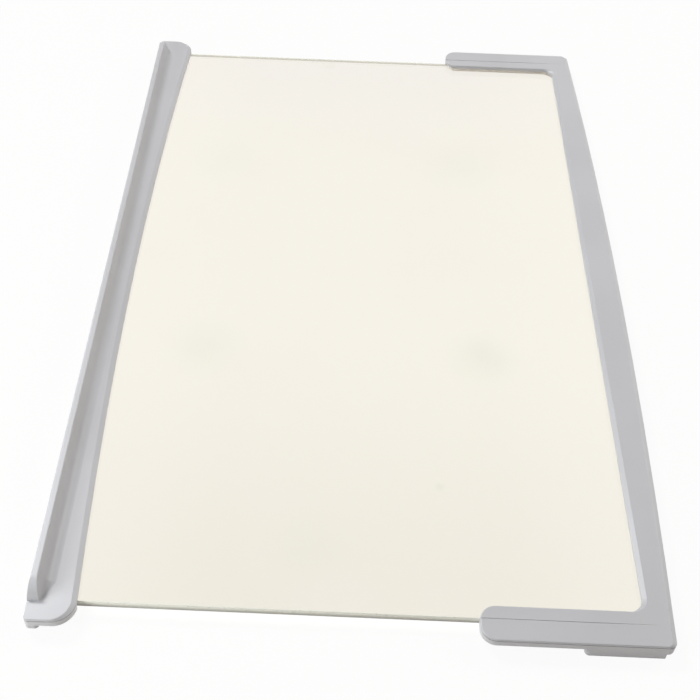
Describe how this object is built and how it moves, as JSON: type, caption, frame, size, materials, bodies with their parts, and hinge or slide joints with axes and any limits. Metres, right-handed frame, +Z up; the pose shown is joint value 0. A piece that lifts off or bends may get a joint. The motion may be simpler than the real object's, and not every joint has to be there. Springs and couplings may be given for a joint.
{
  "type": "fridge glass shelf",
  "caption": "Flat glass fridge shelf with a moulded front trim that wraps both front corners and a rear trim with a raised back-stop lip.",
  "frame": {"origin": "middle of the footprint, on the plane of the front feet and the rear rib", "axes": "+X along the shelf's long side, -Y towards the front edge, +Z up"},
  "size_m": [0.4736, 0.3, 0.0198],
  "materials": {
    "glass": "clear toughened float glass with ground edges",
    "trim": "fine satin moulded plastic, pale grey"
  },
  "bodies": {
    "root": {"glass_panel": "glass", "front_trim": "trim", "rear_trim": "trim"}
  },
  "joints": []
}
